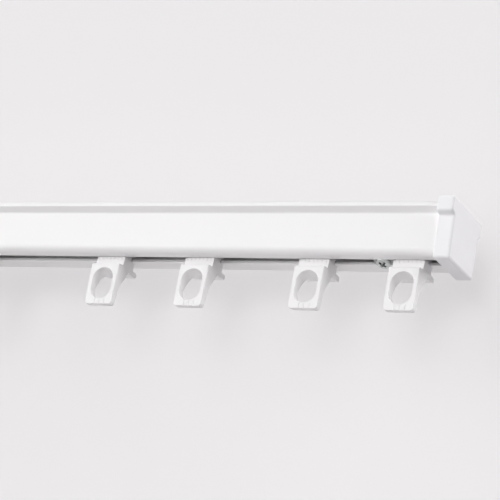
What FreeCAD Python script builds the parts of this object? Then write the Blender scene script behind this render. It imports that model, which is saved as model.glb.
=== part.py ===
"""Curtain track: a lacquered aluminium rail with a flat front and a slot underneath, an end cap
on each end, and plastic carriers that slide in the slot. A clamped stop near each end keeps the
outermost carrier between itself and the end cap.

Frame, in millimetres: the origin is the middle of the rail's flat top. +X runs along the rail to
the right, -Y is the front, towards the room, and +Z is up. The rail hangs below z = 0.
"""

import FreeCAD, Part
import math
import os

V = FreeCAD.Vector

# Points nearer than this count as touching
TOUCHING = 1e-5

# Overall length, over the outer faces of the two end caps
LENGTH = 600.0

# Rail section
RAIL_HEIGHT = 22.8
BODY_DEPTH = 25.6
FRONT_LIP = 3.2
REAR_LIP = 3.0
LIP_HEIGHT = 2.1
LIP_SLOPE = 2.05
LIP_TOP_RADIUS = 0.8
LIP_EDGE_RADIUS = 0.5
COVE_RADIUS = 1.2
WALL = 1.4
FRONT_EDGE_RADIUS = 3.4
REAR_EDGE_RADIUS = 3.0
SLOT_WIDTH = 7.1
SLOT_SETBACK = 7.3
SLOT_EDGE_RADIUS = 0.3
CHANNEL_HEIGHT = 6.8
INNER_RADIUS = 0.8

# End caps
CAP_LENGTH = 7.3
CAP_END_WALL = 1.5
CAP_PROUD = 2.1
CAP_FIT = 0.1
CAP_RIM_RADIUS = 0.5
CAP_EDGE_RADIUS = 1.2
CAP_LIP_DROP = 4.7
CAP_LIP_SLOPE = 1.1
SPIGOT_REACH = 12.0
SPIGOT_WALL = 1.4

# Carriers
CARRIER_WIDTH = 14.3
RUN_GAP = 0.3
HEAD_LENGTH = 13.1
HEAD_DEPTH = 12.0
HEAD_HEIGHT = 2.6
HEAD_CORNER = 1.0
BLOCK_DEPTH = 9.0
BLOCK_FORWARD = 4.0
BLOCK_HEIGHT = 3.9
BLOCK_RAKE = 0.4
PLATE_STEP = 3.5
PLATE_TOP_FALL = 0.4
PLATE_HEIGHT = 19.7
PLATE_LEAN = 0.75
PLATE_FOOT = 3.35
PLATE_FOOT_WIDTH = 13.8
PLATE_CORNER = 1.5
PLATE_TOP_RADIUS = 0.8
PLATE_EDGE_RADIUS = 0.4
BACK_KNEE_HEIGHT = 8.5
BACK_KNEE_OUT = 0.62
BACK_RADIUS = 8.0
NOTCH_INSET = 3.05
NOTCH_RISE = 0.7
FINGER_ROOT_INSET = 1.45
FINGER_REACH = 3.85
FINGER_THICKNESS = 2.4
FINGER_DROP = 3.7
FINGER_TIP_FLAT = 0.2
EYE_WIDTH = 10.35
EYE_HEIGHT = 14.85
EYE_BELOW_PLATE_TOP = 2.1
EDGE_SOFTENING = 0.3
GRIP_COUNT = 7
GRIP_PITCH = 2.0
GRIP_WIDTH = 0.7
GRIP_HEIGHT = 1.3
GRIP_DEPTH = 0.2
FOOT_NICK_COUNT = 3
FOOT_NICK_WIDTH = 0.6
FOOT_NICK_PITCH = 2.45
FOOT_NICK_SHIFT = 0.8
FOOT_NICK_HEIGHT = 2.3
FOOT_NICK_DEPTH = 0.3

# Where the carriers stand, measured from the right end to the left
STOP_TO_CARRIER = 1.75
CARRIER_GAPS = (44.3, 56.2, 45.7, 76.0, 42.0, 51.0, 40.0, 48.0, 43.0, 49.0)

# End stops and their clamping screws
STOP_INSET = 34.9
STOP_LENGTH = 9.0
STOP_DEPTH = 11.5
STOP_HEIGHT = 5.0
STOP_SIDE_GAP = 0.3
SCREW_TILT = 25.0
SCREW_DIAMETER = 3.5
SCREW_HOLE_GAP = 0.1
SCREW_HEAD_DIAMETER = 6.5
SCREW_HEAD_HEIGHT = 2.2
SCREW_HEAD_ROUND = 1.3
SCREW_HEAD_ROOM = 0.35
SCREW_CROWN_DROP = 1.5
SCREW_CROWN_FORWARD = 0.65
SCREW_TIP_GAP = 0.1
SCREW_TIP_BEVEL = 0.5
RECESS_SPAN = 3.8
RECESS_WIDTH = 0.9
RECESS_DEPTH = 1.4
RECESS_TURN = 45.0

# The free stretch of the rail's top, for brackets, stops this far short of each cap
BRACKET_END_GAP = 1.0

# Cutting blocks reach this far past the surface that they start from
CUT_PAST = 1.0

# Levels and lines that follow from the sizes above
TOP_DEPTH = FRONT_LIP + BODY_DEPTH + REAR_LIP
FRONT_EDGE = -TOP_DEPTH / 2
REAR_EDGE = TOP_DEPTH / 2
FASCIA = FRONT_EDGE + FRONT_LIP
BACK = REAR_EDGE - REAR_LIP
UNDERSIDE = -RAIL_HEIGHT
FLANGE_TOP = UNDERSIDE + WALL
CHANNEL_TOP = FLANGE_TOP + CHANNEL_HEIGHT
SLOT_FRONT = FASCIA + SLOT_SETBACK
SLOT_REAR = SLOT_FRONT + SLOT_WIDTH
SLOT_MIDDLE = (SLOT_FRONT + SLOT_REAR) / 2
RAIL_END = LENGTH / 2 - CAP_END_WALL
CAP_RIM = LENGTH / 2 - CAP_LENGTH
HEAD_LOW = FLANGE_TOP + RUN_GAP
BLOCK_TOP = UNDERSIDE - RUN_GAP
BLOCK_LOW = BLOCK_TOP - BLOCK_HEIGHT
BLOCK_FRONT = SLOT_MIDDLE - BLOCK_FORWARD
BLOCK_REAR = BLOCK_FRONT + BLOCK_DEPTH
PLATE_FRONT = BLOCK_FRONT - BLOCK_RAKE - PLATE_STEP
PLATE_TOP = BLOCK_LOW - PLATE_TOP_FALL
FOOT = PLATE_TOP - PLATE_HEIGHT
FOOT_FRONT = PLATE_FRONT - PLATE_LEAN
FINGER_TIP = BLOCK_REAR + FINGER_REACH


def rounded_face(corners):
    """A face in the YZ plane from corners (y, z, radius), with an arc at each rounded corner."""
    edges = []
    previous_end = None
    first_start = None
    count = len(corners)
    for i, (y, z, radius) in enumerate(corners):
        here = V(0, y, z)
        before = V(0, *corners[i - 1][:2])
        after = V(0, *corners[(i + 1) % count][:2])
        to_before = (before - here).normalize()
        to_after = (after - here).normalize()
        half_angle = to_before.getAngle(to_after) / 2
        start = end = here
        if radius > 0:
            reach = radius / math.tan(half_angle)
            start = here + to_before * reach
            end = here + to_after * reach
            inward = (to_before + to_after).normalize()
            middle = here + inward * (radius / math.sin(half_angle) - radius)
        if previous_end is not None:
            edges.append(Part.LineSegment(previous_end, start).toShape())
        else:
            first_start = start
        if radius > 0:
            edges.append(Part.Arc(start, middle, end).toShape())
        previous_end = end
    edges.append(Part.LineSegment(previous_end, first_start).toShape())
    return Part.Face(Part.Wire(edges))


def along_x(face, start, end):
    """The prism of a YZ face from x = start to x = end."""
    placed = face.copy()
    placed.translate(V(start, 0, 0))
    return placed.extrude(V(end - start, 0, 0))


def box(x0, x1, y0, y1, z0, z1):
    """A plain block between two corners."""
    return Part.makeBox(x1 - x0, y1 - y0, z1 - z0, V(x0, y0, z0))


def mirrored(shape):
    """The same piece for the left end."""
    return shape.mirror(V(0, 0, 0), V(1, 0, 0))


def rail_outline():
    """Corners of the rail's outside, as if the slot were closed."""
    return [
        (FRONT_EDGE, 0, LIP_TOP_RADIUS),
        (FRONT_EDGE, -LIP_HEIGHT, LIP_EDGE_RADIUS),
        (FASCIA, -LIP_HEIGHT - LIP_SLOPE, COVE_RADIUS),
        (FASCIA, UNDERSIDE, FRONT_EDGE_RADIUS),
        (BACK, UNDERSIDE, REAR_EDGE_RADIUS),
        (BACK, -LIP_HEIGHT - LIP_SLOPE, COVE_RADIUS),
        (REAR_EDGE, -LIP_HEIGHT, LIP_EDGE_RADIUS),
        (REAR_EDGE, 0, LIP_TOP_RADIUS),
    ]


def chamber_outline(gap=0.0):
    """Corners of the closed chamber above the channel, drawn in by a gap."""
    front = FASCIA + WALL + gap
    rear = BACK - WALL - gap
    low = CHANNEL_TOP + WALL + gap
    high = -WALL - gap
    return [
        (front, low, INNER_RADIUS),
        (rear, low, INNER_RADIUS),
        (rear, high, INNER_RADIUS),
        (front, high, INNER_RADIUS),
    ]


def rail():
    """The extrusion: a channel with a slot below, a closed chamber above, a lip front and rear."""
    body = along_x(rounded_face(rail_outline()), -RAIL_END, RAIL_END)
    channel = rounded_face([
        (FASCIA + WALL, FLANGE_TOP, FRONT_EDGE_RADIUS - WALL),
        (BACK - WALL, FLANGE_TOP, REAR_EDGE_RADIUS - WALL),
        (BACK - WALL, CHANNEL_TOP, INNER_RADIUS),
        (FASCIA + WALL, CHANNEL_TOP, INNER_RADIUS),
    ])
    mouth = UNDERSIDE - SLOT_EDGE_RADIUS
    slot = rounded_face([
        (SLOT_FRONT - 2 * SLOT_EDGE_RADIUS, mouth, 0),
        (SLOT_FRONT - 2 * SLOT_EDGE_RADIUS, UNDERSIDE, 0),
        (SLOT_FRONT, UNDERSIDE, SLOT_EDGE_RADIUS),
        (SLOT_FRONT, FLANGE_TOP + WALL, 0),
        (SLOT_REAR, FLANGE_TOP + WALL, 0),
        (SLOT_REAR, UNDERSIDE, SLOT_EDGE_RADIUS),
        (SLOT_REAR + 2 * SLOT_EDGE_RADIUS, UNDERSIDE, 0),
        (SLOT_REAR + 2 * SLOT_EDGE_RADIUS, mouth, 0),
    ])
    for hollow in (channel, slot, rounded_face(chamber_outline())):
        body = body.cut(along_x(hollow, -RAIL_END, RAIL_END))
    return with_top_marks(body)


def with_top_marks(body):
    """Two lines across the flat top, which part its free stretch from what the caps cover."""
    marks = []
    for x in (BRACKET_END_GAP - CAP_RIM, CAP_RIM - BRACKET_END_GAP):
        front = V(x, FRONT_EDGE + LIP_TOP_RADIUS, 0)
        rear = V(x, REAR_EDGE - LIP_TOP_RADIUS, 0)
        marks.append(Part.LineSegment(front, rear).toShape())
    return body.generalFuse(marks)[0].Solids[0]


def cap_outline():
    """Sharp corners of the cap's outside: it follows the rail, a wall's thickness outside it."""
    front = FASCIA - CAP_PROUD
    rear = BACK + CAP_PROUD
    foot = UNDERSIDE - CAP_PROUD
    return [
        (front, foot, 0),
        (front, -CAP_LIP_DROP - CAP_LIP_SLOPE, 0),
        (FRONT_EDGE - CAP_PROUD, -CAP_LIP_DROP, 0),
        (FRONT_EDGE - CAP_PROUD, CAP_PROUD, 0),
        (REAR_EDGE + CAP_PROUD, CAP_PROUD, 0),
        (REAR_EDGE + CAP_PROUD, -CAP_LIP_DROP, 0),
        (rear, -CAP_LIP_DROP - CAP_LIP_SLOPE, 0),
        (rear, foot, 0),
    ]


def edges_where(shape, test):
    """The edges whose every sample point passes the test."""
    found = []
    for edge in shape.Edges:
        if not edge.Degenerated and all(test(point) for point in edge.discretize(5)):
            found.append(edge)
    return found


def end_cap():
    """The right cap: a shell over the rail's end, with a hollow spigot up the chamber."""
    outer_face = LENGTH / 2
    corners = cap_outline()
    body = along_x(rounded_face(corners), CAP_RIM, outer_face)

    def on_corner(p, corner):
        return abs(p.y - corner[0]) < TOUCHING and abs(p.z - corner[1]) < TOUCHING

    def on_long_edge(p):
        return any(on_corner(p, corner) for corner in corners)

    def on_outer_face(p):
        return abs(p.x - outer_face) < TOUCHING

    rounded = edges_where(body, on_long_edge) + edges_where(body, on_outer_face)
    body = body.makeFillet(CAP_EDGE_RADIUS, rounded)
    body = body.makeFillet(CAP_RIM_RADIUS, edges_where(body, lambda p: abs(p.x - CAP_RIM) < TOUCHING))
    sleeve = rounded_face(rail_outline()).makeOffset2D(CAP_FIT)
    body = body.cut(along_x(sleeve, CAP_RIM, RAIL_END))
    spigot = along_x(rounded_face(chamber_outline(CAP_FIT)), RAIL_END - SPIGOT_REACH, RAIL_END)
    hollow = along_x(rounded_face(chamber_outline(CAP_FIT + SPIGOT_WALL)),
                     RAIL_END - SPIGOT_REACH, RAIL_END)
    return body.fuse(spigot.cut(hollow)).removeSplitter()


def along_y(face, start, end):
    """The prism of a face drawn as (x, z) corners, from y = start to y = end."""
    turned = face.copy()
    turned.rotate(V(0, 0, 0), V(0, 0, 1), -90)
    turned.translate(V(0, start, 0))
    return turned.extrude(V(0, end - start, 0))


def carrier_profile():
    """Corners of a carrier seen from its end, from the head in the channel to the foot."""
    neck_front = SLOT_FRONT + RUN_GAP
    neck_rear = SLOT_REAR - RUN_GAP
    head_front = SLOT_MIDDLE - HEAD_DEPTH / 2
    head_rear = SLOT_MIDDLE + HEAD_DEPTH / 2
    foot_rear = FOOT_FRONT + PLATE_FOOT
    finger_high = BLOCK_TOP - FINGER_DROP
    finger_low = finger_high - FINGER_THICKNESS
    finger_radius = (FINGER_THICKNESS - FINGER_TIP_FLAT) / 2
    return [
        (neck_front, BLOCK_TOP, 0),
        (neck_front, HEAD_LOW, 0),
        (head_front, HEAD_LOW, EDGE_SOFTENING),
        (head_front, HEAD_LOW + HEAD_HEIGHT, HEAD_CORNER),
        (head_rear, HEAD_LOW + HEAD_HEIGHT, HEAD_CORNER),
        (head_rear, HEAD_LOW, EDGE_SOFTENING),
        (neck_rear, HEAD_LOW, 0),
        (neck_rear, BLOCK_TOP, 0),
        (BLOCK_REAR, BLOCK_TOP, EDGE_SOFTENING),
        (BLOCK_REAR, finger_high, EDGE_SOFTENING),
        (FINGER_TIP, finger_high, finger_radius),
        (FINGER_TIP, finger_low, finger_radius),
        (BLOCK_REAR - FINGER_ROOT_INSET, finger_low, EDGE_SOFTENING),
        (BLOCK_REAR - NOTCH_INSET, finger_low + NOTCH_RISE, EDGE_SOFTENING),
        (foot_rear + BACK_KNEE_OUT, FOOT + BACK_KNEE_HEIGHT, BACK_RADIUS),
        (foot_rear, FOOT, EDGE_SOFTENING),
        (FOOT_FRONT, FOOT, 0),
        (PLATE_FRONT, PLATE_TOP, PLATE_TOP_RADIUS),
        (BLOCK_FRONT - BLOCK_RAKE, BLOCK_LOW, 0),
        (BLOCK_FRONT, BLOCK_TOP, EDGE_SOFTENING),
    ]


def carrier_front():
    """Corners of a carrier seen from the front: a shorter head, sides that draw in to the foot."""
    half = CARRIER_WIDTH / 2
    half_foot = PLATE_FOOT_WIDTH / 2
    half_head = HEAD_LENGTH / 2
    return [
        (-half, BLOCK_TOP, 0),
        (-half_foot, FOOT, PLATE_CORNER),
        (half_foot, FOOT, PLATE_CORNER),
        (half, BLOCK_TOP, 0),
        (half_head, BLOCK_TOP, 0),
        (half_head, HEAD_LOW + HEAD_HEIGHT, HEAD_CORNER),
        (-half_head, HEAD_LOW + HEAD_HEIGHT, HEAD_CORNER),
        (-half_head, BLOCK_TOP, 0),
    ]


def eye_outline():
    """Corners of the eye: straight sides with a half round at the top and at the bottom."""
    half = EYE_WIDTH / 2
    high = PLATE_TOP - EYE_BELOW_PLATE_TOP
    low = high - EYE_HEIGHT
    middle = (high + low) / 2
    straight = (EYE_HEIGHT - EYE_WIDTH) / 2
    return half, middle, straight


def stadium_face(half, middle, straight):
    """A face for the eye, as (x, z)."""
    top = middle + straight
    low = middle - straight
    edges = [
        Part.LineSegment(V(0, half, low), V(0, half, top)).toShape(),
        Part.Arc(V(0, half, top), V(0, 0, top + half), V(0, -half, top)).toShape(),
        Part.LineSegment(V(0, -half, top), V(0, -half, low)).toShape(),
        Part.Arc(V(0, -half, low), V(0, 0, low - half), V(0, half, low)).toShape(),
    ]
    return Part.Face(Part.Wire(edges))


def row_of_cuts(count, pitch, width, middle, y0, y1, z0, z1):
    """Small blocks in a row along x, centred on x = middle."""
    first = middle - (count - 1) * pitch / 2 - width / 2
    return [box(first + i * pitch, first + i * pitch + width, y0, y1, z0, z1) for i in range(count)]


def on_plate_front(p):
    """Whether a point lies on the plate's front face, which leans forward down to the foot."""
    forward = PLATE_LEAN * (PLATE_TOP - p.z) / PLATE_HEIGHT
    return abs(p.y - (PLATE_FRONT - forward)) < TOUCHING


def carrier():
    """A carrier at x = 0: head, neck, block, plate with its eye, and a finger behind."""
    half = CARRIER_WIDTH / 2
    front = FOOT_FRONT - CUT_PAST
    rear = FINGER_TIP + CUT_PAST
    body = along_x(rounded_face(carrier_profile()), -half, half)
    body = body.common(along_y(rounded_face(carrier_front()), front, rear))
    half_eye, middle, straight = eye_outline()
    body = body.cut(along_y(stadium_face(half_eye, middle, straight), front, rear))
    inner_foot = PLATE_FOOT_WIDTH / 2 - PLATE_CORNER

    def on_eye_rim(p):
        beyond = max(abs(p.z - middle) - straight, 0)
        return on_plate_front(p) and abs(math.hypot(p.x, beyond) - half_eye) < TOUCHING

    def on_plate_border(p):
        at_side = abs(p.x) > inner_foot - TOUCHING
        return on_plate_front(p) and not on_eye_rim(p) and (at_side or p.z < FOOT + TOUCHING)

    body = body.makeFillet(PLATE_EDGE_RADIUS, edges_where(body, on_plate_border))
    body = body.makeFillet(EDGE_SOFTENING, edges_where(body, on_eye_rim))
    grips = row_of_cuts(GRIP_COUNT, GRIP_PITCH, GRIP_WIDTH, 0,
                        BLOCK_FRONT - CUT_PAST, BLOCK_FRONT + GRIP_DEPTH,
                        BLOCK_TOP - GRIP_HEIGHT, BLOCK_TOP)
    nicks = row_of_cuts(FOOT_NICK_COUNT, FOOT_NICK_PITCH, FOOT_NICK_WIDTH, FOOT_NICK_SHIFT,
                        front, FOOT_FRONT + FOOT_NICK_DEPTH,
                        FOOT - CUT_PAST, FOOT + FOOT_NICK_HEIGHT)
    return body.cut(Part.Compound(grips + nicks))


def screw_seat():
    """Where the clamping screw's head bears: the middle of the head's flat underside."""
    tilt = math.radians(SCREW_TILT)
    crown_y = SLOT_MIDDLE - SCREW_CROWN_FORWARD
    crown_z = UNDERSIDE - SCREW_CROWN_DROP
    return V(0, crown_y + SCREW_HEAD_HEIGHT * math.sin(tilt),
             crown_z + SCREW_HEAD_HEIGHT * math.cos(tilt))


def on_screw_axis(shape):
    """Sets a shape drawn round +Z, with its seat at z = 0, on the slanting screw axis."""
    shape.rotate(V(0, 0, 0), V(1, 0, 0), -SCREW_TILT)
    shape.translate(screw_seat())
    return shape


def end_stop():
    """The block in the channel at x = 0: feet on both flanges and a slanting seat in the slot."""
    half = STOP_LENGTH / 2
    high = FLANGE_TOP + STOP_HEIGHT
    stub_front = SLOT_FRONT + STOP_SIDE_GAP
    stub_rear = SLOT_REAR - STOP_SIDE_GAP
    profile = [
        (SLOT_MIDDLE - STOP_DEPTH / 2, FLANGE_TOP, EDGE_SOFTENING),
        (stub_front, FLANGE_TOP, 0),
        (stub_front, UNDERSIDE, 0),
        (stub_rear, UNDERSIDE, 0),
        (stub_rear, FLANGE_TOP, 0),
        (SLOT_MIDDLE + STOP_DEPTH / 2, FLANGE_TOP, EDGE_SOFTENING),
        (SLOT_MIDDLE + STOP_DEPTH / 2, high, EDGE_SOFTENING),
        (SLOT_MIDDLE - STOP_DEPTH / 2, high, EDGE_SOFTENING),
    ]
    body = along_x(rounded_face(profile), -half, half)
    room = SCREW_HEAD_DIAMETER / 2 + SCREW_HEAD_ROOM
    seat_cut = on_screw_axis(box(-half, half, -room, room, -RAIL_HEIGHT, 0))
    hole_radius = SCREW_DIAMETER / 2 + SCREW_HOLE_GAP
    hole = on_screw_axis(Part.makeCylinder(hole_radius, RAIL_HEIGHT))
    return body.cut(seat_cut).cut(hole)


def stop_screw():
    """The pan head screw at x = 0, with a cross recess; its tip reaches the channel's roof."""
    tilt = math.radians(SCREW_TILT)
    radius = SCREW_DIAMETER / 2
    head_radius = SCREW_HEAD_DIAMETER / 2
    roof = CHANNEL_TOP - SCREW_TIP_GAP - radius * math.sin(tilt)
    length = (roof - screw_seat().z) / math.cos(tilt)
    head = Part.makeCylinder(head_radius, SCREW_HEAD_HEIGHT, V(0, 0, -SCREW_HEAD_HEIGHT))
    head = head.makeFillet(SCREW_HEAD_ROUND, edges_where(
        head, lambda p: abs(p.z + SCREW_HEAD_HEIGHT) < TOUCHING and p.Length > head_radius))
    shank = Part.makeCylinder(radius, length)
    shank = shank.makeChamfer(SCREW_TIP_BEVEL, edges_where(
        shank, lambda p: abs(p.z - length) < TOUCHING))
    arm = box(-RECESS_SPAN / 2, RECESS_SPAN / 2, -RECESS_WIDTH / 2, RECESS_WIDTH / 2,
              -SCREW_HEAD_HEIGHT, RECESS_DEPTH - SCREW_HEAD_HEIGHT)
    screw = head.fuse(shank).removeSplitter()
    for turn in (RECESS_TURN, RECESS_TURN + 90):
        slot = arm.copy()
        slot.rotate(V(0, 0, 0), V(0, 0, 1), turn)
        screw = screw.cut(slot)
    return on_screw_axis(screw)


def carrier_places():
    """The x of each carrier, right to left: one held at each end and the rest between."""
    stop_outer = LENGTH / 2 - STOP_INSET + STOP_LENGTH / 2
    right = stop_outer + STOP_TO_CARRIER + CARRIER_WIDTH / 2
    last_free = STOP_INSET + (STOP_LENGTH + CARRIER_WIDTH) / 2 + 2 * RUN_GAP - LENGTH / 2
    places = [right]
    step = 0
    while places[-1] - CARRIER_GAPS[step % len(CARRIER_GAPS)] > last_free:
        places.append(places[-1] - CARRIER_GAPS[step % len(CARRIER_GAPS)])
        step += 1
    places.append(-right)
    return places


def save(shape, name):
    """Writes one piece to its own file."""
    shape.exportStep("parts/" + name + ".step")


def main():
    os.makedirs("parts", exist_ok=True)
    save(rail(), "rail")
    cap = end_cap()
    save(cap, "end_cap_right")
    save(mirrored(cap), "end_cap_left")
    stop_x = V(LENGTH / 2 - STOP_INSET, 0, 0)
    for piece, name in ((end_stop(), "end_stop"), (stop_screw(), "stop_screw")):
        piece.translate(stop_x)
        save(piece, name + "_right")
        save(mirrored(piece), name + "_left")
    blank = carrier()
    for number, x in enumerate(carrier_places(), 1):
        piece = blank.copy()
        piece.translate(V(x, 0, 0))
        save(piece, "carrier_%02d" % number)


main()
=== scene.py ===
"""A curtain track: a white lacquered rail with a slot underneath, a cap on each end, plastic
carriers in the slot, and a clamped stop near each end. Metres; the rail's flat top is z = 0.
"""

import bpy
import bmesh
import math
from mathutils import Matrix, Vector


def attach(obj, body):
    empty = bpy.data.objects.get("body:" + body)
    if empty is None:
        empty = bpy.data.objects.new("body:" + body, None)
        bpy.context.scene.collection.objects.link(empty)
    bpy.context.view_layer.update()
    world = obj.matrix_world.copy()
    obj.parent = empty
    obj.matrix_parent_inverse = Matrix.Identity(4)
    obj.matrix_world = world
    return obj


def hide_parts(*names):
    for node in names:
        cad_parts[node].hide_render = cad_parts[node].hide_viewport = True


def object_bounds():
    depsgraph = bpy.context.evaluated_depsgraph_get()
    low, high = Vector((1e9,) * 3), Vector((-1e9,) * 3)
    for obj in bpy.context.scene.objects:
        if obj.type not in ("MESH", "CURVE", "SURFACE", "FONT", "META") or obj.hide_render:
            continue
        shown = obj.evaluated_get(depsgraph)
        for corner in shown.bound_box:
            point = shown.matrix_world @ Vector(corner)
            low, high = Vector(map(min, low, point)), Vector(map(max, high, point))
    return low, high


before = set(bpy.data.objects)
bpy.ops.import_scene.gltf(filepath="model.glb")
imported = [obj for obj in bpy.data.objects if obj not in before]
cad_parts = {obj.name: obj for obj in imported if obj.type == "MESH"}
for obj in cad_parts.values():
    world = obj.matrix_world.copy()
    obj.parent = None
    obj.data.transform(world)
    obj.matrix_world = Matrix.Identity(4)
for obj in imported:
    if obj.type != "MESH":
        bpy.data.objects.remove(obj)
cad_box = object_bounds()


# The rail: one aluminium extrusion, cut square and coated with white satin lacquer. The die
# leaves faint lines along it, and the lacquer lies over them with a fine orange peel.
RAIL_WHITE = (0.90, 0.89, 0.895, 1)
RAIL_GREY = (0.885, 0.875, 0.88, 1)
DIE_LINE_HEIGHT = 0.000004
PEEL_HEIGHT = 0.000006


class Value:
    """One socket of a finish, which works out sums with numbers and with other values."""

    def __init__(self, socket):
        self.socket = socket

    def node(self, kind, settings, sockets):
        """The first output of a new node, made with these settings and these socket values."""
        made = self.socket.id_data.nodes.new(kind)
        for name, setting in settings.items():
            setattr(made, name, setting)
        set_sockets(made, sockets)
        return Value(next(output for output in made.outputs if output.enabled))

    def output(self, name):
        """Another output of the same node."""
        return Value(self.socket.node.outputs[name])

    def maths(self, operation, *terms):
        """One step of a sum, or a comparison that gives 1 or 0."""
        return self.node("ShaderNodeMath", {"operation": operation}, dict(enumerate(terms)))

    def __add__(self, other):
        return self.maths("ADD", self, other)

    def __radd__(self, other):
        return self.maths("ADD", other, self)

    def __mul__(self, other):
        return self.maths("MULTIPLY", self, other)

    def __rmul__(self, other):
        return self.maths("MULTIPLY", other, self)

    def __lt__(self, other):
        return self.maths("LESS_THAN", self, other)

    def __gt__(self, other):
        return self.maths("GREATER_THAN", self, other)

    def __abs__(self):
        return self.maths("ABSOLUTE", self)


def set_sockets(node, sockets):
    """Sets or links each named input of a node."""
    for name, given in sockets.items():
        if isinstance(given, Value):
            node.id_data.links.new(given.socket, node.inputs[name])
        else:
            node.inputs[name].default_value = given


def start_finish(name):
    """A new material: its principled shader, and the place on the piece in metres."""
    finish = bpy.data.materials.new(name)
    finish.use_nodes = True
    shader = finish.node_tree.nodes["Principled BSDF"]
    place = Value(shader.outputs["BSDF"]).node("ShaderNodeTexCoord", {}, {}).output("Object")
    return finish, shader, place


def grain(place, stretch, cells, detail):
    """Noise between 0 and 1, with so many cells in a metre, stretched along x, y and z."""
    held = place.node("ShaderNodeVectorMath", {"operation": "MULTIPLY"}, {0: place, 1: stretch})
    return held.node("ShaderNodeTexNoise", {}, {"Vector": held, "Scale": cells, "Detail": detail})


def blend_colours(amount, low, high):
    """A colour between two, by a value from 0 to 1."""
    return amount.node("ShaderNodeMix", {"data_type": "RGBA"},
                       {"Factor": amount, "A": low, "B": high})


def relief(height, distance, under=None):
    """A bump of that height in metres, over another bump or none."""
    sockets = {"Height": height, "Distance": distance, "Strength": 1.0}
    if under:
        sockets["Normal"] = under
    return height.node("ShaderNodeBump", {}, sockets)


def wear_finish(node_names, finish):
    """Puts one finish on CAD nodes."""
    for name in node_names:
        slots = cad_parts[name].material_slots
        if not slots:
            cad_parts[name].data.materials.append(finish)
        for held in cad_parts[name].material_slots:
            held.material = finish


rail_lacquer, shader, place = start_finish("rail_lacquer")
clouds = grain(place, (0.3, 1, 1), cells=60, detail=2)
die_lines = grain(place, (0.01, 1, 1), cells=2600, detail=1)
orange_peel = grain(place, (1, 1, 1), cells=900, detail=2)
set_sockets(shader, {
    "Base Color": blend_colours(clouds, RAIL_GREY, RAIL_WHITE),
    "Roughness": 0.30 + 0.10 * clouds,
    "Normal": relief(die_lines, DIE_LINE_HEIGHT, under=relief(orange_peel, PEEL_HEIGHT)),
    "IOR": 1.5,
})
wear_finish(["rail"], rail_lacquer)


# The end stops: small blocks of die-cast zinc that stand on the slot's flanges in the channel.
# The clamping screw goes through each at a slant and jams it under the channel's roof.
ZINC_LIGHT = (0.46, 0.465, 0.465, 1)
ZINC_DARK = (0.30, 0.305, 0.305, 1)
CAST_SKIN_HEIGHT = 0.00002

stop_zinc, shader, place = start_finish("stop_zinc")
mottle = grain(place, (1, 1, 1), cells=700, detail=3)
cast_skin = grain(place, (1, 1, 1), cells=3000, detail=2)
set_sockets(shader, {
    "Base Color": blend_colours(mottle, ZINC_DARK, ZINC_LIGHT),
    "Metallic": 1.0,
    "Roughness": 0.38 + 0.22 * mottle,
    "Normal": relief(cast_skin, CAST_SKIN_HEIGHT),
})
wear_finish(["end_stop_right", "end_stop_left"], stop_zinc)


# The stop screws: pan head machine screws with a cross recess, cold headed and rolled from
# steel wire and zinc plated. They slant through the stops, heads down in the slot.
PLATING_LIGHT = (0.70, 0.715, 0.71, 1)
PLATING_DARK = (0.40, 0.42, 0.42, 1)
PLATING_HEIGHT = 0.00002
# The walls of the cross recess get this dark grey: painted shade, where the recess falls dark.
RECESS_PAINTED_SHADE = (0.24, 0.25, 0.245, 1)
HEAD_RADIUS = 0.00325
HEAD_HEIGHT = 0.0022
HEAD_ROUND = 0.0013
HEAD_CROWN = 0.00025
HEAD_BEVEL = 0.0001
THREAD_CREST = 0.00175
THREAD_ROOT = 0.00140
THREAD_PITCH = 0.0006
CREST_START = 0.35
CREST_END = 0.55
FLANK_END = 0.9
SHANK_LENGTH = 0.00757
POINT_LENGTH = 0.0005
POINT_TAPER = 0.0004
RECESS_MOUTH = 0.0019
RECESS_DEPTH = 0.0015
RECESS_ARM = 0.00062
PUNCH_RISE = 0.0004
ARM_POINT_SHARE = 0.45
ARM_REACH_SHARE = 0.3
ARM_END_SHARE = 0.8
SHADE_DEPTH = 0.00012
SHADE_RADIUS = RECESS_MOUTH + RECESS_ARM / 2
SCREW_SLANT = math.radians(25)
SCREW_SEAT = Vector((0.2651, -0.001570, -0.022306))
SHARP_ANGLE = math.radians(32)
MERGE_DISTANCE = 1e-7
ROUND_STEPS = 64
TURN_STEPS = 32
CROWN_STEPS = 4
EDGE_STEPS = 10


def lathe(mesh, outline):
    """Turns (radius, z) points round the z axis; a radius of 0 closes the end."""
    rings = []
    for radius, z in outline:
        if radius == 0:
            rings.append([mesh.verts.new((0, 0, z))] * ROUND_STEPS)
            continue
        ring = []
        for step in range(ROUND_STEPS):
            turn = 2 * math.pi * step / ROUND_STEPS
            ring.append(mesh.verts.new((radius * math.cos(turn), radius * math.sin(turn), z)))
        rings.append(ring)
    for low, high in zip(rings, rings[1:]):
        for step in range(ROUND_STEPS):
            after = (step + 1) % ROUND_STEPS
            corners = [low[step], low[after], high[after], high[step]]
            corners = [c for i, c in enumerate(corners) if c not in corners[:i]]
            mesh.faces.new(corners)


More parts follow.
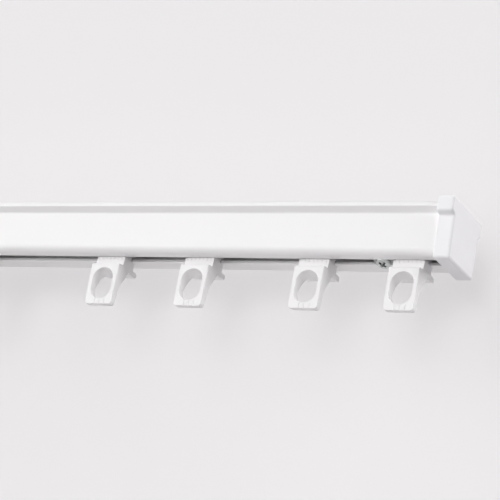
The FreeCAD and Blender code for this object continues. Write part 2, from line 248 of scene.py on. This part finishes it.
def pan_head(mesh):
    """The head, seat at z = 0, with a crowned top at the bottom and a rounded edge."""
    outline = [(0, -HEAD_HEIGHT)]
    flat = HEAD_RADIUS - HEAD_ROUND
    for step in range(1, CROWN_STEPS):
        share = step / CROWN_STEPS
        outline.append((flat * share, HEAD_CROWN * share ** 2 - HEAD_HEIGHT))
    for step in range(EDGE_STEPS + 1):
        turn = math.pi / 2 * step / EDGE_STEPS
        z = HEAD_CROWN + (HEAD_ROUND - HEAD_CROWN) * (1 - math.cos(turn)) - HEAD_HEIGHT
        outline.append((flat + HEAD_ROUND * math.sin(turn), z))
    outline.append((HEAD_RADIUS, -HEAD_BEVEL))
    outline.append((HEAD_RADIUS - HEAD_BEVEL, 0))
    outline.append((THREAD_ROOT, 0))
    lathe(mesh, outline)


def rolled_thread(mesh):
    """The shank: one flank pair swept up a helix, and a bevelled point."""
    top = SHANK_LENGTH - POINT_LENGTH
    turns = (SHANK_LENGTH - THREAD_PITCH) / THREAD_PITCH
    flanks = ((0, THREAD_ROOT), (CREST_START, THREAD_CREST), (CREST_END, THREAD_CREST),
              (FLANK_END, THREAD_ROOT), (1, THREAD_ROOT))
    strips = []
    for step in range(int(turns * TURN_STEPS) + 1):
        turn = 2 * math.pi * step / TURN_STEPS
        climb = THREAD_PITCH * (step / TURN_STEPS - 1)
        strip = []
        for share, radius in flanks:
            z = min(max(climb + share * THREAD_PITCH, 0), top)
            strip.append(mesh.verts.new((radius * math.cos(turn), radius * math.sin(turn), z)))
        strips.append(strip)
    for before, after in zip(strips, strips[1:]):
        for low in range(len(flanks) - 1):
            mesh.faces.new((before[low], after[low], after[low + 1], before[low + 1]))
    lathe(mesh, [(THREAD_ROOT, top - THREAD_PITCH), (THREAD_ROOT, top),
                 (THREAD_ROOT - POINT_TAPER, SHANK_LENGTH), (0, SHANK_LENGTH)])


def object_from(mesh, name):
    """A scene object from a working mesh, which it frees."""
    data = bpy.data.meshes.new(name)
    mesh.to_mesh(data)
    mesh.free()
    piece = bpy.data.objects.new(name, data)
    bpy.context.scene.collection.objects.link(piece)
    return piece


def recess_punch():
    """The cross punch that the head is struck with: four arms that taper to a blunt point."""
    mesh = bmesh.new()
    # The depth in the head, and the share of the mouth's width there.
    levels = ((-PUNCH_RISE, 1.14), (0, 1), (RECESS_DEPTH * 0.7, 0.62), (RECESS_DEPTH, 0.22))
    rings = []
    for depth, share in levels:
        ring = []
        arm = RECESS_ARM * (ARM_POINT_SHARE + (1 - ARM_POINT_SHARE) * share)
        mouth = RECESS_MOUTH * share + arm * ARM_REACH_SHARE
        end = arm * ARM_END_SHARE
        for quarter in range(4):
            turn = Matrix.Rotation(math.pi / 2 * quarter, 3, "Z")
            for x, y in ((mouth, -end), (mouth, end), (arm, arm)):
                ring.append(mesh.verts.new(turn @ Vector((x, y, depth - HEAD_HEIGHT))))
        rings.append(ring)
    for low, high in zip(rings, rings[1:]):
        for i in range(len(low)):
            mesh.faces.new((low[i], low[i - 1], high[i - 1], high[i]))
    mesh.faces.new(rings[0])
    mesh.faces.new(list(reversed(rings[-1])))
    bmesh.ops.recalc_face_normals(mesh, faces=mesh.faces)
    return object_from(mesh, "recess_punch")


def struck_screw():
    """The mesh of one screw, with the recess cut out of its head."""
    head = bmesh.new()
    pan_head(head)
    lathe(head, [(THREAD_ROOT, 0), (0, 0)])
    bmesh.ops.remove_doubles(head, verts=head.verts, dist=MERGE_DISTANCE)
    bmesh.ops.recalc_face_normals(head, faces=head.faces)
    piece = object_from(head, "struck_head")
    punch = recess_punch()
    punch.data.transform(Matrix.Rotation(math.pi / 4, 4, "Z"))
    cut = piece.modifiers.new("recess", "BOOLEAN")
    cut.operation = "DIFFERENCE"
    cut.solver = "EXACT"
    cut.object = punch
    evaluated = piece.evaluated_get(bpy.context.evaluated_depsgraph_get())
    whole = bmesh.new()
    whole.from_mesh(evaluated.to_mesh())
    rolled_thread(whole)
    bpy.data.objects.remove(piece)
    bpy.data.objects.remove(punch)
    data = bpy.data.meshes.new("stop_screw")
    whole.to_mesh(data)
    whole.free()
    data.shade_smooth()
    data.set_sharp_from_angle(angle=SHARP_ANGLE)
    return data


screw_zinc, shader, place = start_finish("screw_zinc")
bloom = grain(place, (1, 1, 1), cells=900, detail=3)
plating_grain = grain(place, (1, 1, 1), cells=2200, detail=2)
height = place.node("ShaderNodeSeparateXYZ", {}, {0: place}).output("Z")
across = place.node("ShaderNodeVectorMath", {"operation": "MULTIPLY"}, {0: place, 1: (1, 1, 0)})
radius = across.node("ShaderNodeVectorMath", {"operation": "LENGTH"}, {0: across})
# Painted shade: the walls of the cross recess, inside the head and within the recess's reach, are
# coloured dark grey.
in_head = (height > HEAD_CROWN + SHADE_DEPTH - HEAD_HEIGHT) * (height < -HEAD_BEVEL)
recess_shade_mask = (radius < SHADE_RADIUS) * in_head
plating = blend_colours(bloom, PLATING_DARK, PLATING_LIGHT)
set_sockets(shader, {
    "Base Color": blend_colours(recess_shade_mask, plating, RECESS_PAINTED_SHADE),
    "Metallic": 1.0,
    "Roughness": 0.18 + 0.14 * bloom,
    "Normal": relief(plating_grain, PLATING_HEIGHT),
})
screw_mesh = struck_screw()
screw_mesh.materials.append(screw_zinc)
for side, name in ((1, "right"), (-1, "left")):
    screw = bpy.data.objects.new("plated_screw_" + name, screw_mesh)
    bpy.context.scene.collection.objects.link(screw)
    seat = Vector((SCREW_SEAT.x * side, SCREW_SEAT.y, SCREW_SEAT.z))
    screw.matrix_world = Matrix.Translation(seat) @ Matrix.Rotation(-SCREW_SLANT, 4, "X")
    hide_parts("stop_screw_" + name)
    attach(screw, "track")


# The carriers: one acetal moulding each. The T-shaped head runs on the flanges inside the
# rail, and the oval eye takes a curtain hook. Their gloss is soft and a little waxy.
CARRIER_WHITE = (0.89, 0.88, 0.885, 1)
CARRIER_SHADE = (0.87, 0.86, 0.865, 1)
CARRIER_SPARK_HEIGHT = 0.000006

carrier_plastic, shader, place = start_finish("carrier_plastic")
flow = grain(place, (1, 1, 0.4), cells=220, detail=2)
spark_texture = grain(place, (1, 1, 1), cells=3600, detail=2)
set_sockets(shader, {
    "Base Color": blend_colours(flow, CARRIER_SHADE, CARRIER_WHITE),
    "Roughness": 0.34 + 0.10 * flow,
    "Normal": relief(spark_texture, CARRIER_SPARK_HEIGHT),
    "IOR": 1.48,
})
wear_finish([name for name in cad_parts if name.startswith("carrier")], carrier_plastic)


# The end caps: hollow mouldings in white plastic from a sparked mould, pushed over the rail's
# ends. A spigot grips inside the rail. A thin grey line along the rounded edge between the
# front and each end is painted shade, where that edge falls dark.
CAP_WHITE = (0.885, 0.877, 0.90, 1)
CAP_SHADE = (0.87, 0.862, 0.885, 1)
CAP_SPARK_HEIGHT = 0.000008
# Painted shade: a grey line on the rounded edge near the front of each end face.
PAINTED_EDGE_SHADE = (0.775, 0.765, 0.78, 1)
SHADE_LINE_START = 0.0006
SHADE_LINE_END = 0.00004
SHADE_LINE_BEHIND_FRONT = 0.0043
SHADE_LINE_BELOW_TOP = 0.0012

cap_plastic, shader, place = start_finish("cap_plastic")
flow = grain(place, (0.5, 1, 1), cells=160, detail=2)
spark_texture = grain(place, (1, 1, 1), cells=2800, detail=2)
along = place.node("ShaderNodeSeparateXYZ", {}, {0: place})
cap_front, cap_end, cap_top = cad_box[0][1], cad_box[1][0], cad_box[1][2]
at_end = (abs(along) > cap_end - SHADE_LINE_START) * (abs(along) < cap_end - SHADE_LINE_END)
at_front = along.output("Y") < cap_front + SHADE_LINE_BEHIND_FRONT
below_top = along.output("Z") < cap_top - SHADE_LINE_BELOW_TOP
cap_colour = blend_colours(flow, CAP_SHADE, CAP_WHITE)
set_sockets(shader, {
    # The band close to the end, near the front and below the top, is painted grey as shade on that
    # edge.
    "Base Color": blend_colours(at_end * at_front * below_top, cap_colour, PAINTED_EDGE_SHADE),
    "Roughness": 0.38 + 0.10 * flow,
    "Normal": relief(spark_texture, CAP_SPARK_HEIGHT),
    "IOR": 1.48,
})
wear_finish(["end_cap_right", "end_cap_left"], cap_plastic)


# The room: a pale plain wall close behind the track, seen from its front only, a pale floor
# well below, and soft lamps. The camera looks up at the track's right end.
WALL_BEHIND = 0.060
WALL_SIZE = 7
WALL_SHADE = (0.745, 0.73, 0.737, 1)
WALL_GLOW = (1.0, 0.98, 0.988, 1)
WALL_GLOW_SHARE = 0.44
PLASTER_HEIGHT = 0.00001
FLOOR_LEVEL = -2.2
FLOOR_SIZE = 4
FLOOR_SHADE = (0.74, 0.735, 0.74, 1)
ROOM_COLOUR = (1, 0.99, 0.995, 1)
ROOM_LIGHT = 0.04
ROOM_SHADE = 0.84
CAMERA_LENS = 150.5
CAMERA_SENSOR = 36
CAMERA_NEAR = 0.01


def turned_to(direction):
    """The turn that points a piece's z axis along a direction."""
    return direction.to_track_quat("Z", "Y").to_matrix().to_4x4()


def stage_plane(name, size, where, facing):
    """A square sheet for the wall or the floor."""
    mesh = bmesh.new()
    bmesh.ops.create_grid(mesh, x_segments=1, y_segments=1, size=size / 2)
    sheet = object_from(mesh, name)
    sheet.matrix_world = Matrix.Translation(where) @ turned_to(facing)
    return sheet


def straight_rays(near):
    """1 for rays from the camera, off a mirror or through glass, and 0 for all others."""
    rays = near.node("ShaderNodeLightPath", {}, {})
    seen = rays.output("Is Camera Ray") + rays.output("Is Glossy Ray")
    return seen + rays.output("Is Transmission Ray")


def mix_shaders(amount, first, second):
    """A shader between two, by a value from 0 to 1."""
    return amount.node("ShaderNodeMixShader", {}, {0: amount, 1: first, 2: second})


wall = stage_plane("wall", WALL_SIZE, Vector((0, WALL_BEHIND, 0)), Vector((0, -1, 0)))
wall_paint, shader, place = start_finish("wall_paint")
plaster = grain(place, (1, 1, 1), cells=400, detail=2)
set_sockets(shader, {
    "Base Color": WALL_SHADE,
    "Roughness": 0.9,
    "Specular IOR Level": 0.1,
    "Normal": relief(plaster, PLASTER_HEIGHT),
})
glow = place.node("ShaderNodeEmission", {}, {"Color": WALL_GLOW, "Strength": 1.0})
lit = mix_shaders(WALL_GLOW_SHARE * straight_rays(place), Value(shader.outputs["BSDF"]), glow)
back = place.node("ShaderNodeNewGeometry", {}, {}).output("Backfacing")
clear = place.node("ShaderNodeBsdfTransparent", {}, {})
one_sided = mix_shaders(back, lit, clear)
set_sockets(wall_paint.node_tree.nodes["Material Output"], {"Surface": one_sided})
wall.data.materials.append(wall_paint)

floor = stage_plane("floor", FLOOR_SIZE, Vector((0, 0, FLOOR_LEVEL)), Vector((0, 0, 1)))
floor_paint, shader, place = start_finish("floor_paint")
worn = grain(place, (1, 1, 1), cells=3, detail=2)
set_sockets(shader, {
    "Base Color": blend_colours(worn, FLOOR_SHADE, WALL_SHADE),
    "Roughness": 0.8,
})
floor.data.materials.append(floor_paint)


def soft_lamp(name, azimuth, height, strength, spread):
    """A far lamp, in degrees; azimuth 0 shines from the front and positive ones from the right."""
    turn = math.radians(azimuth)
    rise = math.radians(height)
    towards = Vector((math.sin(turn) * math.cos(rise), -math.cos(turn) * math.cos(rise),
                      math.sin(rise)))
    data = bpy.data.lights.new(name, "SUN")
    data.energy = strength
    data.angle = math.radians(spread)
    lamp = bpy.data.objects.new(name, data)
    lamp.matrix_world = turned_to(towards)
    bpy.context.scene.collection.objects.link(lamp)


soft_lamp("key_lamp", azimuth=13.5, height=-3, strength=0.80, spread=16)
soft_lamp("left_lamp", azimuth=-45, height=2, strength=2.15, spread=60)
soft_lamp("right_lamp", azimuth=84, height=31, strength=2.60, spread=50)

world = bpy.data.worlds.new("room")
bpy.context.scene.world = world
world.use_nodes = True
background = world.node_tree.nodes["Background"]
straight = straight_rays(Value(background.outputs["Background"]))
set_sockets(background, {
    "Color": ROOM_COLOUR,
    "Strength": ROOM_LIGHT + (ROOM_SHADE - ROOM_LIGHT) * straight,
})

# The first three columns are the camera's right, up and rear directions, the last its place.
camera = bpy.data.objects.new("camera", bpy.data.cameras.new("camera"))
camera.data.lens = CAMERA_LENS
camera.data.sensor_width = CAMERA_SENSOR
camera.data.clip_start = CAMERA_NEAR
camera.matrix_world = Matrix((
    (0.893859, -0.008121, 0.448275, 0.61590),
    (0.418442, -0.343937, -0.840603, -0.78168),
    (0.161005, 0.938958, -0.304033, -0.29971),
    (0, 0, 0, 1),
))
bpy.context.scene.collection.objects.link(camera)
bpy.context.scene.camera = camera
bpy.context.scene.view_settings.view_transform = "Standard"
